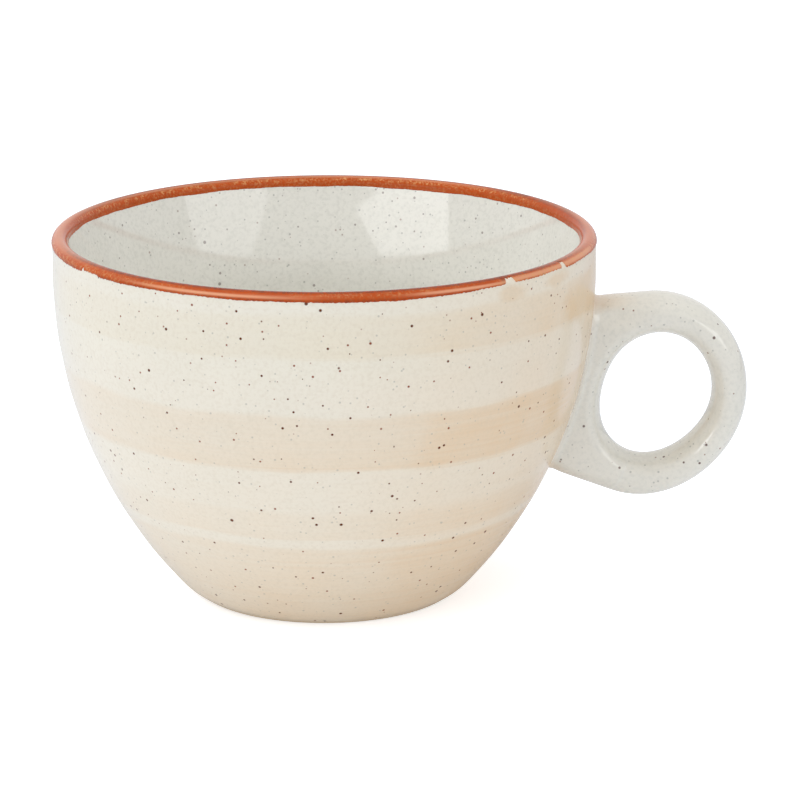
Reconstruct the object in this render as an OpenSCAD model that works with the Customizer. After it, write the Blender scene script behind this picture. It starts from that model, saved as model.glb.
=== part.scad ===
/* [Bowl] */
// Diameter of the cup over the rim
cup_d = 110; // [95:1:125]
// Height of the cup
cup_h = 75; // [70:0.5:85]
// Thickness of the wall at the rim, glaze included
lip_t = 3.4; // [2.8:0.1:4.5]
// Distance from the rim down to where the side stands upright
upright_drop = 8; // [6:0.5:12]
// Radius of the long curve up the outside of the bowl
side_r = 95; // [90:0.5:100]
// Radius of the small curve just above the foot
heel_r = 13; // [11:0.5:15]
// How far the heel curve has turned up where it meets the foot, in degrees
heel_turn = 22; // [18:1:26]
// Thickness of the wall below the lip, glaze included
wall_t = 6.4; // [5.5:0.1:7]
// Distance from the rim down to where the inside of the wall turns straight
straight_drop = 21; // [15:0.5:22]
// Radius of the curve between the inside wall and the flat of the floor
floor_r = 22; // [18:0.5:26]
// Height of the floor inside the cup
floor_z = 7; // [6:0.25:9]

/* [Foot] */
// Width of the bare clay ring that the cup stands on
foot_w = 4.2; // [3:0.1:6]
// Depth of the hollow inside the foot ring
foot_h = 2.2; // [1.5:0.1:3]

/* [Glaze] */
// Thickness of the glaze, and of the slip that sets the handle on the wall
coat_t = 0.4; // [0.3:0.05:0.6]
// Height of the bare clay that shows below the glaze
bare_h = 0.5; // [0.3:0.1:1]
// How far the rust glaze runs down both sides, below the round of the lip
rim_run = 0.4; // [0.2:0.1:1.5]
// Distance from the rim down to the upper brushed band
upper_band_drop = 4.3; // [4:0.1:6]
// Height of the upper brushed band
upper_band_h = 8.6; // [6:0.2:9]
// Height of the plain glaze between the upper and the middle band
upper_plain_h = 11.5; // [9:0.1:13]
// Height of the middle brushed band
middle_band_h = 11.6; // [9:0.2:13]
// Height of the plain glaze between the middle and the pale band
lower_plain_h = 9.8; // [8:0.1:12]
// Height of the pale brushed band
pale_band_h = 6.4; // [5:0.2:8]
// Height of the plain streak between the pale band and the band over the heel
streak_h = 2; // [1:0.1:3]

/* [Handle] */
// Width of the finger hole across its narrow way
hole_w = 22; // [20:0.2:23]
// Length of the finger hole along its long way
hole_l = 26.4; // [25:0.2:28]
// Lean of the finger hole, its top away from the bowl, in degrees
hole_lean = 22; // [15:1:30]
// How much the finger hole is drawn towards three flat sides
hole_draw = 0.25; // [0:0.05:0.5]
// Distance from the rim down to the middle of the finger hole
hole_drop = 34; // [32:0.5:35]
// Clay left between the finger hole and the wall of the bowl
root_web = 4.9; // [4:0.1:6]
// Thickness of the handle at its far side, seen from the side
strap_t = 7.2; // [6:0.1:8]
// How much thicker the handle grows towards the bowl
root_gain = 2.2; // [1:0.1:3]
// Width of the handle seen from the end
strap_w = 11.4; // [10:0.2:13]
// Extra width of the handle where it joins the bowl
root_swell = 1.4; // [0.5:0.1:2]
// Radius that blends the handle into the wall
root_fillet = 1.6; // [1:0.1:2.2]

/* [Hidden] */
// Colours of the clay, the glazes, the brushwork and the slip
CLAY = "#d9d0c1";
CREAM = "#e9e7df";
LINER = "#dfdfdb";
PEACH = "#e2bfa0";
PALE_PEACH = "#e6d2bf";
RUST = "#b5622c";
SLIP = "#cfc4b0";

$fn = 128;

// Overlap of shapes that join, and overrun of a cutting shape past what it cuts
over = coat_t;

// Outside of the bowl: the middle of the side curve, and the turn where the heel takes over
cup_r = cup_d / 2;
upright_z = cup_h - upright_drop;
side_x = cup_r - side_r;
out_turn = acos((upright_z - heel_r * cos(heel_turn)) / (side_r - heel_r));
heel_x = side_x + (side_r - heel_r) * sin(out_turn);
heel_z = upright_z - (side_r - heel_r) * cos(out_turn);
foot_r = heel_x + heel_r * sin(heel_turn);
foot_in_r = foot_r - foot_w;

// Inside of the bowl: its side curve has the same middle, and a straight stretch joins it to the lip
lip_r = lip_t / 2;
lip_z = cup_h - lip_r;
straight_z = cup_h - straight_drop;
inner_r = side_r - wall_t;
in_turn = acos((upright_z - floor_z - floor_r) / (inner_r - floor_r));
floor_x = side_x + (inner_r - floor_r) * sin(in_turn);

// Outer radius of the bowl at height z, on the side curve and above it
function wall_r(z) = z >= upright_z ? cup_r
    : side_x + sqrt(pow(side_r, 2) - pow(upright_z - z, 2));

// A band of the half plane between two heights
module slab(from, to) {
    translate([0, from]) square([cup_r + over, to - from]);
}

// Everything inside the outer surface, drawn in by an inset
module outside(inset) {
    turn_z = upright_z - (side_r - inset) * cos(out_turn);
    translate([0, upright_z]) square([cup_r - inset, lip_z - upright_z]);
    intersection() {
        translate([side_x, upright_z]) circle(r = side_r - inset);
        slab(turn_z, upright_z + over);
    }
    intersection() {
        union() {
            translate([heel_x, heel_z]) circle(r = heel_r - inset);
            square([heel_x, heel_z]);
        }
        slab(0, turn_z + over);
    }
}

// The hollow of the cup, grown outwards, and open past the rim
module cavity(grow) {
    r = inner_r + grow;
    mouth_x = cup_r - lip_t + grow;
    straight_x = side_x + sqrt(pow(r, 2) - pow(upright_z - straight_z, 2));
    turn_z = upright_z - r * cos(in_turn);
    polygon([[0, straight_z], [straight_x, straight_z], [mouth_x, lip_z],
        [mouth_x, cup_h + over], [0, cup_h + over]]);
    intersection() {
        translate([side_x, upright_z]) circle(r = r);
        slab(turn_z, straight_z + over);
    }
    intersection() {
        union() {
            translate([floor_x, floor_z + floor_r]) circle(r = floor_r + grow);
            translate([0, floor_z - grow]) square([floor_x, floor_r]);
        }
        slab(floor_z - grow, turn_z + over);
    }
}

// Half section of the wall and floor with a coat of the given depth taken off all round
module wall(coat) {
    difference() {
        outside(coat);
        cavity(coat);
    }
    translate([cup_r - lip_r, lip_z]) circle(r = lip_r - coat);
}

// Half section of the glaze on the outside between two heights
module outer_coat(from, to) {
    intersection() {
        difference() {
            outside(0);
            outside(coat_t);
        }
        slab(from, to);
    }
}

// A ring of that glaze all round the bowl, but for the window under the handle
module glaze_ring(from, to) {
    difference() {
        rotate_extrude() outer_coat(from, to);
        slip_window();
    }
}

// Bisque clay of the wall and the floor
module bowl() {
    color(CLAY) rotate_extrude() intersection() {
        wall(coat_t);
        slab(foot_h, cup_h);
    }
}

// Ring of bare clay under the floor, wiped clean so that it doesn't stick in the kiln
module foot_ring() {
    color(CLAY) rotate_extrude() {
        intersection() {
            difference() {
                outside(coat_t);
                square([foot_in_r, foot_h]);
            }
            slab(0, foot_h);
        }
        outer_coat(0, bare_h);
    }
}

// Where the rust coat of the lip ends, and the heights of the brushed bands
rim_coat_z = lip_z - rim_run;
upper_band_top = cup_h - upper_band_drop;
upper_band_z = upper_band_top - upper_band_h;
middle_band_top = upper_band_z - upper_plain_h;
middle_band_z = middle_band_top - middle_band_h;
pale_band_top = middle_band_z - lower_plain_h;
pale_band_z = pale_band_top - pale_band_h;
heel_band_z = pale_band_z - streak_h;

// Cream glaze of the outside, in the plain stretches between the brushed bands
module body_glaze() {
    color(CREAM) {
        glaze_ring(upper_band_top, rim_coat_z);
        glaze_ring(middle_band_top, upper_band_z);
        glaze_ring(pale_band_top, middle_band_z);
        glaze_ring(heel_band_z, pale_band_z);
    }
}

module upper_band() {
    color(PEACH) glaze_ring(upper_band_z, upper_band_top);
}

module middle_band() {
    color(PEACH) glaze_ring(middle_band_z, middle_band_top);
}

module pale_band() {
    color(PALE_PEACH) glaze_ring(pale_band_z, pale_band_top);
}

module heel_band() {
    color(PEACH) glaze_ring(bare_h, heel_band_z);
}

// Glaze of the inside, from the floor up to the rust coat of the lip
module liner_glaze() {
    color(LINER) rotate_extrude() intersection() {
        difference() {
            cavity(coat_t);
            cavity(0);
        }
        slab(0, rim_coat_z);
    }
}

// Rust glaze over the lip, down both sides
module rim_glaze() {
    color(RUST) rotate_extrude() intersection() {
        difference() {
            wall(0);
            wall(coat_t);
        }
        slab(rim_coat_z, cup_h);
    }
}

// Glaze of the hollow under the foot
module base_glaze() {
    color(LINER) translate([0, 0, foot_h - coat_t]) cylinder(r = foot_in_r, h = coat_t);
}

// Finger hole: its half widths, its middle, and how far its outline lies along direction a
hole_z = cup_h - hole_drop;
hole_x = wall_r(hole_z) + root_web + hole_w / 2;
hole_tilt = 90 - hole_lean;
flat_sides = 3;
flat_side_at = 52;
thinnest_at = 0;

function ellipse_r(a, long, short) =
    1 / norm([cos(a - hole_tilt) / long, sin(a - hole_tilt) / short]);

function hole_edge(a) = ellipse_r(a, hole_l / 2, hole_w / 2)
    - hole_draw * cos(flat_sides * (a - flat_side_at));

function strap_edge(a) = ellipse_r(a, hole_l / 2 + strap_t, hole_w / 2 + strap_t)
    - hole_draw * cos(flat_sides * (a - flat_side_at))
    + root_gain * (1 - cos(a - thinnest_at)) / 2;

// The root reaches the wall between two straight edges, one above and one below, each square
// to a direction from the hole's middle and touching the strap, and it ends inside the wall
root_top_at = 95;
root_low_at = 250;
root_end_at = 166;
root_depth = hole_w / 2 + root_web + strap_w / 2;
corner_power = 14;
search_step = 0.5;
search_reach = 60;

// How far the strap reaches along direction at, and in which direction it does so
function reach(at) = max([for (a = [at - search_reach:search_step:at + search_reach])
    strap_edge(a) * cos(a - at)]);

function touch(at) = [for (a = [at - search_reach:search_step:at + search_reach])
    if (strap_edge(a) * cos(a - at) >= reach(at)) a][0];

root_edges = [
    [root_top_at, reach(root_top_at)],
    [root_low_at, reach(root_low_at)],
    [root_end_at, root_depth],
];
top_touch = touch(root_top_at);
low_touch = touch(root_low_at);

function edge_pull(a, edge) = pow(max(0, cos(a - edge[0])) / edge[1], corner_power);

function root_edge(a) = pow(edge_pull(a, root_edges[0]) + edge_pull(a, root_edges[1])
    + edge_pull(a, root_edges[2]), -1 / corner_power);

// Outer edge of the handle, and how far a point lies out from the wall
function outer_edge(a) = a > top_touch && a < low_touch
    ? max(strap_edge(a), root_edge(a)) : strap_edge(a);

function off_wall(p) = norm([p.x, p.y]) - wall_r(p.z);

function at(a, r) = [hole_x + r * cos(a), 0, hole_z + r * sin(a)];

// Directions where the upper and the lower edge run into the wall
top_meets = [for (a = [root_top_at:search_step:root_end_at])
    if (off_wall(at(a, outer_edge(a))) < 0) a][0];
low_meets = [for (a = [root_end_at:search_step:root_low_at])
    if (off_wall(at(a, outer_edge(a))) > 0) a][0];

// Stations round the hole: wide apart along the strap, close together where it meets the wall
wide_step = 5;
close_step = 1.25;
close_reach = 7.5;

function span(from, to, step) = let (n = ceil((to - from) / step))
    [for (i = [0:n - 1]) from + (to - from) * i / n];

stations = concat(
    span(low_meets + close_reach - 360, top_meets - close_reach, wide_step),
    span(top_meets - close_reach, top_meets + close_reach, close_step),
    span(top_meets + close_reach, low_meets - close_reach, wide_step),
    span(low_meets - close_reach, low_meets + close_reach, close_step)
);

// One cross section: two rounded ends of a superellipse with straight sides between them.
// Each entry is [which end, along, across], and the sides are stepped so they can be blended.
end_steps = 6;
side_steps = 3;
round_power = 2.35;

function soft(c) = sign(c) * pow(abs(c), 2 / round_power);

function half_end(from) = [for (i = [0:2 * end_steps]) from + i * 90 / end_steps];

outer_half = [for (v = half_end(-90)) [1, v]];
inner_half = [for (v = half_end(90)) [0, v]];
front_side = [for (i = [1:side_steps]) [1 - i / (side_steps + 1), 90]];
back_side = [for (i = [1:side_steps]) [i / (side_steps + 1), 270]];
around = concat(outer_half, front_side, inner_half, back_side);

// Half width of the strap in direction a, a little wider round the root
swell_spread = 1.5;

function half_w(a) = strap_w / 2
    + root_swell / 2 * pow(max(0, cos((a - root_end_at) / swell_spread)), 2);

// How far the blend swells the handle at a distance d from the wall
function blend(d) = let (gap = root_fillet - min(max(d, 0), root_fillet))
    root_fillet - sqrt(pow(root_fillet, 2) - pow(gap, 2));

function skin(a, mark) =
    let (
        round_r = strap_t / 2,
        w = half_w(a),
        inner = hole_edge(a) + round_r,
        outer = outer_edge(a) - round_r,
        c = cos(mark[1]),
        s = sin(mark[1]),
        middle = inner + (outer - inner) * mark[0],
        along = middle + round_r * soft(c),
        across = w * soft(s),
        slope = [sign(c) * pow(abs(c), 2 - 2 / round_power) / round_r,
            sign(s) * pow(abs(s), 2 - 2 / round_power) / w],
        facing = slope / norm(slope),
        plain = at(a, along) + [0, across, 0],
        swell = blend(off_wall(plain)),
        p = at(a, along + swell * facing.x)
    )
    [p.x, across + swell * facing.y, p.z];

module strap_loft() {
    n = len(stations);
    m = len(around);
    points = [for (a = stations) for (mark = around) skin(a, mark)];
    faces = [for (i = [0:n - 1]) for (j = [0:m - 1])
        let (i2 = (i + 1) % n, j2 = (j + 1) % m)
        each [[i * m + j, i * m + j2, i2 * m + j2], [i * m + j, i2 * m + j2, i2 * m + j]]];
    polyhedron(points = points, faces = faces, convexity = 4);
}

// One finger ring handle, drawn up to the glaze of the bowl
module handle() {
    color(CREAM) difference() {
        strap_loft();
        rotate_extrude() outside(0);
    }
}

// The bare window that the glaze leaves for the slip: a long patch with round ends
window_w = strap_w - strap_t / 2;

module slip_window() {
    rotate([90, 0, 90]) linear_extrude(cup_r + over) {
        for (end = [-1, 1]) translate([0, hole_z + end * hole_l / 2]) circle(d = window_w);
        translate([-window_w / 2, hole_z - hole_l / 2]) square([window_w, hole_l]);
    }
}

// Slip that holds the handle, between the bare clay of the wall and the handle
module luting_slip() {
    color(SLIP) intersection() {
        rotate_extrude() outer_coat(bare_h, rim_coat_z);
        slip_window();
    }
}

bowl();
foot_ring();
handle();
luting_slip();
liner_glaze();
body_glaze();
upper_band();
middle_band();
pale_band();
heel_band();
rim_glaze();
base_glaze();
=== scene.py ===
# %% [markdown]
# # A cappuccino cup in Blender
# The cup is thrown stoneware: a bowl of light clay with a ring handle, a grey white liner
# glaze inside, brushed peach bands outside, and a rust glaze over the lip. A glazed pot is
# clay under a skin of glass, so the lesson makes each skin as a thin closed shell of its own
# over the clay, and gives each one the finish that its glaze has.

# %% Load the clay frame
import math

import bpy
import numpy as np
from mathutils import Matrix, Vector


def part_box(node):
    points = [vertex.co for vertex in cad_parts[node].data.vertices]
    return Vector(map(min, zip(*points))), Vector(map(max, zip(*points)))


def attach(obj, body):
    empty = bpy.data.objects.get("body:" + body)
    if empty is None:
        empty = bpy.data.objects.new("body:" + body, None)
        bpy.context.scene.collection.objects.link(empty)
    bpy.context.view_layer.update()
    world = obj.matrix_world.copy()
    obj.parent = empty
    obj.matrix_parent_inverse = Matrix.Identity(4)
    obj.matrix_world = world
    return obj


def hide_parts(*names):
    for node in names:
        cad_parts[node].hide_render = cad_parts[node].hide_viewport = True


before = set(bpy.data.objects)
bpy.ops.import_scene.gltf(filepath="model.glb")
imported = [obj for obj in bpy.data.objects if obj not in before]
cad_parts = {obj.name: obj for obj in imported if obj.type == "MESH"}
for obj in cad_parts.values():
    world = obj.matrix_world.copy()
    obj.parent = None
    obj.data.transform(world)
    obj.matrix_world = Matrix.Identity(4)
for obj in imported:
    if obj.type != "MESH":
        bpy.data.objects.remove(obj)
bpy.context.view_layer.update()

# %% [markdown]
# ## The cup's own sizes
# The whole cup follows from a few sizes. Its height and radius are measured on the frame.
# The radii of its curves are the potter's own choices, and they are written here once, in
# millimetres, because that is the unit a potter's callipers read.

# %% Sizes of the cup
MM = 0.001
TINY = 1e-9
# Measured on the frame: the cup over its rust coat, the top of the bare clay outside, and the
# height of the bowl's underside
CUP_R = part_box("rim_glaze")[1].x / MM
CUP_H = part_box("rim_glaze")[1].z / MM
BARE_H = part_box("heel_band")[0].z / MM
FOOT_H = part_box("bowl")[0].z / MM
# Outside: the side's radius and the height where it stands upright, then the heel's radius
# and the turn at which it leaves the foot
SIDE_R = 95
UPRIGHT_Z = 67
HEEL_R = 13
HEEL_TURN = math.radians(22)
# Inside: the wall, the height where its arc goes over into a straight line, and the floor
WALL_T = 6.4
STRAIGHT_Z = 54
FLOOR_R = 22
FLOOR_Z = 7
# The lip, the foot ring and the coats of glaze
LIP_T = 3.4
FOOT_W = 4.2
COAT_T = 0.4
LIP_R = LIP_T / 2
LIP_Z = CUP_H - LIP_R
SIDE_X = CUP_R - SIDE_R
print(f"cup {2 * CUP_R:.0f} mm across and {CUP_H:.0f} mm high, foot bare up to {BARE_H:.1f} mm")

# %% [markdown]
# ## The section as arcs
# A pot on the wheel is one line turned about an axis. The line here is made of arcs that
# meet where their tangents agree: a small arc at the heel, a long one up the side, a half
# round lip, and the same again down the inside. An inset draws the whole line into the clay,
# so one function serves the top and the underside of every skin.


# %% Arcs and evenly spaced lines
ARC_STEPS = 160


def arc(x, z, radius, start, end, steps=ARC_STEPS):
    """Points on a circle: (x + radius cos t, z + radius sin t), with t from start to end."""
    t = np.linspace(start, end, steps)
    return np.stack([x + radius * np.cos(t), z + radius * np.sin(t)], axis=1)


def steps_along(line):
    """Length of each step from one point of a line to the next."""
    return np.hypot(*np.diff(line, axis=0).T)


def distance_along(line):
    """Distance along a line from its first point to each of its points."""
    return np.concatenate([[0], np.cumsum(steps_along(line))])


def even(line, count):
    """The same line with count points spaced evenly along its length."""
    line = line[np.concatenate([[True], steps_along(line) > TINY])]
    distance = distance_along(line)
    along = np.linspace(0, distance[-1], count)
    return np.stack([np.interp(along, distance, line[:, k]) for k in (0, 1)], axis=1)


quarter = distance_along(arc(0, 0, 1, 0, math.pi / 2))[-1]
print(f"a quarter of a circle of radius 1 is {quarter:.4f} long, and pi / 2 is {math.pi / 2:.4f}")

# %% The line outside
OUT_TURN = math.acos((UPRIGHT_Z - HEEL_R * math.cos(HEEL_TURN)) / (SIDE_R - HEEL_R))
HEEL_X = SIDE_X + (SIDE_R - HEEL_R) * math.sin(OUT_TURN)
HEEL_Z = UPRIGHT_Z - (SIDE_R - HEEL_R) * math.cos(OUT_TURN)
# The turns above are measured from straight down, and the arcs from the x axis
DOWN = -math.pi / 2


def outside_line(inset, bottom):
    """Heel arc from height bottom, side arc, then straight up to the middle of the lip."""
    heel, side = HEEL_R - inset, SIDE_R - inset
    low = math.asin((bottom - HEEL_Z) / heel)
    return np.concatenate(
        [
            arc(HEEL_X, HEEL_Z, heel, low, DOWN + OUT_TURN),
            arc(SIDE_X, UPRIGHT_Z, side, DOWN + OUT_TURN, 0),
            [[CUP_R - inset, LIP_Z]],
        ]
    )


print(f"the heel turns about a point {HEEL_X:.1f} mm from the axis and {HEEL_Z:.1f} mm up")

# %% The lines inside and over the lip
INSIDE_R = SIDE_R - WALL_T
IN_TURN = math.acos((UPRIGHT_Z - FLOOR_Z - FLOOR_R) / (INSIDE_R - FLOOR_R))
FLOOR_X = SIDE_X + (INSIDE_R - FLOOR_R) * math.sin(IN_TURN)
# The wall thins towards the mouth: the inside swells in most at one height below the lip, and
# this fades to nothing at the lip and a little way down
FLARE = 0.6
FLARE_Z = 57
FLARE_REACH = 9
FLARE_FADE = 1.5
LEAN_STEPS = 60
LIP_STEPS = 96


def inside_line(inset):
    """Lip to floor: a straight stretch, the side arc and the floor arc, in to the axis. It is
    drawn in by flare (1 - t^2) above flare_z, and by flare (1 - t^2)^fade below it."""
    side, floor = INSIDE_R + inset, FLOOR_R + inset
    straight = math.asin((STRAIGHT_Z - UPRIGHT_Z) / side)
    top = np.array([[CUP_R - LIP_T + inset, LIP_Z]])
    side_arc = arc(SIDE_X, UPRIGHT_Z, side, straight, DOWN + IN_TURN)
    lean = even(np.concatenate([top, side_arc[:1]]), LEAN_STEPS)
    floor_arc = arc(FLOOR_X, FLOOR_Z + FLOOR_R, floor, DOWN + IN_TURN, DOWN)
    line = np.concatenate([lean, side_arc, floor_arc, [[0, FLOOR_Z - inset]]])
    above = line[:, 1] > FLARE_Z
    t = (line[:, 1] - FLARE_Z) / np.where(above, LIP_Z - FLARE_Z, FLARE_REACH)
    swell = np.clip(1 - t**2, 0, 1) ** np.where(above, 1, FLARE_FADE)
    line[:, 0] -= FLARE * swell * (line[:, 0] > FLOOR_X)
    return line


def lip_line(inset):
    """Half circle over the lip, from the outside to the inside."""
    return arc(CUP_R - LIP_R, LIP_Z, LIP_R - inset, 0, math.pi, LIP_STEPS)


print(f"side turns {math.degrees(OUT_TURN):.1f} degrees, inside {math.degrees(IN_TURN):.1f}")

# %% [markdown]
# ## Turning a line into a skin
# Turning a line about the axis gives a grid: one way along the line, the other way round
# the cup. Each skin is a closed line, up one face and back down the other, or it starts and
# ends on the axis, where the grid closes in a fan. Faces are listed so that they point out.


# %% Grids, fans and meshes
def ring_angles(count):
    """Angles round the axis, without the last one, which is the first again."""
    return np.linspace(0, 2 * math.pi, count, endpoint=False)


def grid_faces(rows, columns, rows_close):
    """Quads between the rows of a grid that closes round its columns."""
    i, j = np.indices((rows if rows_close else rows - 1, columns))
    i2, j2 = (i + 1) % rows, (j + 1) % columns
    quads = [i * columns + j, i * columns + j2, i2 * columns + j2, i2 * columns + j]
    return np.stack(quads, axis=-1).reshape(-1, 4)


def mesh_piece(name, points_mm, faces, fans=()):
    """A smooth mesh from points in millimetres, quads, and triangles that close its poles."""
    mesh = bpy.data.meshes.new(name)
    mesh.from_pydata((points_mm * MM).tolist(), [], faces.tolist() + [list(f) for f in fans])
    mesh.validate()
    mesh.polygons.foreach_set("use_smooth", np.ones(len(mesh.polygons), bool))
    piece = bpy.data.objects.new(name, mesh)
    bpy.context.scene.collection.objects.link(piece)
    triangles = sum(len(p.vertices) - 2 for p in mesh.polygons)
    print(f"{name}: {len(points_mm)} points, {triangles} triangles")
    return piece


def mark(piece, name, values):
    """Keeps one number per point with the mesh, for a material to read."""
    kept = piece.data.attributes.new(name, "FLOAT", "POINT")
    kept.data.foreach_set("value", np.asarray(values, np.float32).ravel())


def turned(name, radii, heights, angles):
    """Turns a closed line about the axis: point (r, z) at angle a lies at (r cos a, r sin a, z).
    radii and heights have a row for each point of the line, and it holds one number or one
    for each angle. Ends on the axis become poles."""
    shape = (len(radii), len(angles))
    radii, heights = np.broadcast_to(radii, shape), np.broadcast_to(heights, shape)
    on_axis = np.flatnonzero(radii.max(axis=1) < TINY)
    body = np.delete(np.arange(len(radii)), on_axis)
    r, z = radii[body], heights[body]
    points = np.stack([r * np.cos(angles), r * np.sin(angles), z], axis=-1).reshape(-1, 3)
    rows, columns = len(body), len(angles)
    faces = grid_faces(rows, columns, rows_close=len(on_axis) == 0)
    fans = []
    for pole, row, turn in zip(on_axis, (0, rows - 1), (1, -1)):
        points = np.concatenate([points, [[0, 0, heights[pole, 0]]]])
        ring = row * columns + np.arange(columns)
        fans += [(len(points) - 1, a, b)[::turn] for a, b in zip(np.roll(ring, -1), ring)]
    return mesh_piece(name, points, faces, fans)


print("quads on a closed grid of 3 rows and 5 columns:", len(grid_faces(3, 5, rows_close=True)))


# %% [markdown]
# ## Nothing on a pot is perfectly round
# Clay moves as it dries and glaze runs as it melts. Every edge and every skin here wanders
# a little. The wander is a sum of a few waves round the cup, so it has no seam, and its
# random phases come from a fixed seed, so that it is the same on each run.


# %% Wander round the cup
def wander(angles, seed, size, waves):
    """Sum of sin(k a + phase) over the given wave counts k, scaled so that it stays within size."""
    draw = np.random.default_rng(seed)
    weight = draw.uniform(0.4, 1, len(waves))
    phase = draw.uniform(0, 2 * math.pi, len(waves))
    total = sum(w * np.sin(k * angles + p) for k, w, p in zip(waves, weight, phase))
    return size * total / weight.sum()


print("wander at one angle:", round(float(wander(np.array([1.0]), 1, 1.0, (3, 5, 8))[0]), 3))

# %% [markdown]
# ## The outer glaze
# The cream glaze and the brushed bands melted together into one coat, from the wiped foot
# up under the rust of the lip. It is a closed shell a quarter of a millimetre thick. It lies
# a tenth of a millimetre below the frame's surface, which leaves room for the rust coat to
# lie over it. Faint rings from the potter's fingers run round it.

# %% Outer glaze shell
# How far below the frame's surface a coat's face and its clay side lie. The clay side stays
# a little clear of the clay.
CLEAR = 0.02
SKIN = 0.12
UNDER = COAT_T - CLEAR
# Points of the lip's half circle that this glaze covers outside, and the liner inside
LIP_COVERED = 40
THROWN_RING = 11.0
THROWN_DEPTH = 0.05
AROUND = 400
OUTER_ROWS, OUTER_BACK_ROWS = 150, 60


def ring_depth(heights):
    """Depth of the throwing rings: depth (1 - cos(2 pi z / ring)) / 2, so never proud."""
    return THROWN_DEPTH * (1 - np.cos(2 * math.pi * heights / THROWN_RING)) / 2


def outer_glaze_shell():
    """Up the outside and over the outer part of the lip, and back down on the clay side."""

    def line_at(depth):
        return np.concatenate([outside_line(depth, BARE_H), lip_line(depth)[1:LIP_COVERED]])

    face, back = even(line_at(SKIN), OUTER_ROWS), even(line_at(UNDER), OUTER_BACK_ROWS)
    face[:, 0] -= ring_depth(face[:, 1])
    line = np.concatenate([face, back[::-1]])
    return turned("outer_glaze", line[:, :1], line[:, 1:], ring_angles(AROUND))


outer_glaze = outer_glaze_shell()
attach(outer_glaze, "root")
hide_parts("body_glaze", "upper_band", "middle_band", "pale_band", "heel_band")

# %% [markdown]
# ## The liner glaze
# Inside, a grey white glaze was poured in and out again. Its shell starts on the axis on the
# clay side, runs out under the floor and up the wall to the lip, and comes back on the face.

# %% Liner shell
LINER_ROWS, LINER_BACK_ROWS = 170, 70


def liner_shell():
    """Axis to lip on the clay side, then lip to axis on the face. A line that runs this way
    round has its faces pointing out of the glaze."""

    def line_at(depth):
        return np.concatenate([lip_line(depth)[-LIP_COVERED:-1], inside_line(depth)])

    face, back = even(line_at(SKIN), LINER_ROWS), even(line_at(UNDER), LINER_BACK_ROWS)
    line = np.concatenate([back[::-1], face])
    line[[0, -1], 0] = 0
    return turned("liner", line[:, :1], line[:, 1:], ring_angles(AROUND))


liner = liner_shell()
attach(liner, "root")
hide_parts("liner_glaze")

# %% [markdown]
# ## The rust coat of the lip
# The rust glaze was wiped on with a sponge: it covers the round of the lip and ends in a
# ragged line that wanders. Where it was touched before the firing there are bare breaks, and
# at the left the edge has a small nick and then thins. The coat is a band laid over the lip's
# line. Both its edges are free to move along that line, and they dive under the glaze below,
# so each edge is a real step in the surface.

# %% Sizes of the rust coat
RIM_AROUND = 2000
RIM_ROWS, RIM_BACK_ROWS = 40, 8
# How far the coat reaches down from the crest, outside and inside
RIM_COVER_OUT, RIM_COVER_IN = 2.75, 3.15
# Each edge rises over a short width, from under the glaze below it to just under the frame
RIM_EDGE_SOFT, RIM_EDGE_POWER = 0.3, 2.5
RIM_EDGE_DEPTH, RIM_TOP = SKIN + 0.08, 0.01
# The path it lies on: how far it starts below the lip outside, its points on the inside wall
# and its points in all
PATH_DROP = 3 * LIP_T
PATH_INSIDE = 14
PATH_POINTS = 1200
# Wave counts round the cup
SLOW = (2, 3, 5, 9, 14, 23)
QUICK = (31, 47, 66, 83)
RAGGED = (127, 181, 263, 331, 397, 491)
# Faults of the outer edge: from and to in degrees, mm drawn up, and degrees that each end takes
EDGE_FAULTS = (
    (-148.4, -147.6, 0.85, 0.15),
    (-147.4, -142.2, 0.35, 0.30),
    (-60.0, -12.0, 0.50, 7.0),
    (-49.4, -47.1, 1.40, 0.25),
    (-37.4, -31.1, 0.20, 0.40),
    (-31.2, -29.7, 1.60, 0.16),
)
# Zones of the coat: from and to in degrees, degrees that each end takes, from and to in mm
# from the crest (outside negative), mm that each end takes, and amount
DARK_ZONES = (
    (-162, -18, 6, -0.75, 0.80, 0.15, 1.00),
    (18, 162, 6, -0.80, 0.45, 0.12, 1.00),
    (-180, 0, 8, -3.60, -2.20, 0.20, 0.60),
    (88, 165, 8, 0.45, 1.05, 0.15, 0.75),
    (-5, 50, 8, 0.45, 1.15, 0.20, 0.75),
    (-50.4, -49.4, 0.2, -3.00, -0.50, 0.20, 0.90),
    (-38.8, -37.6, 0.3, -2.40, -0.80, 0.20, 0.70),
    (-20.0, -18.6, 0.3, -2.60, -0.80, 0.20, 0.60),
    (-180, 180, 1, -4.00, 4.00, 0.20, 0.20),
)
FLECK_ZONES = (
    (92, 165, 8, 1.10, 1.90, 0.20, 0.75),
    (36, 90, 5, 1.00, 1.75, 0.15, 0.95),
    (20, 165, 8, 1.90, 3.00, 0.20, 0.20),
    (150, 205, 10, -2.60, -1.40, 0.25, 0.75),
    (-150, -116, 5, -2.50, -1.00, 0.25, 0.45),
    (-95, -62, 5, -1.70, -0.80, 0.20, 0.35),
    (-50, -4, 4, -2.60, -1.00, 0.25, 0.60),
    (-180, 180, 1, -4.00, 4.00, 0.20, 0.12),
)
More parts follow.
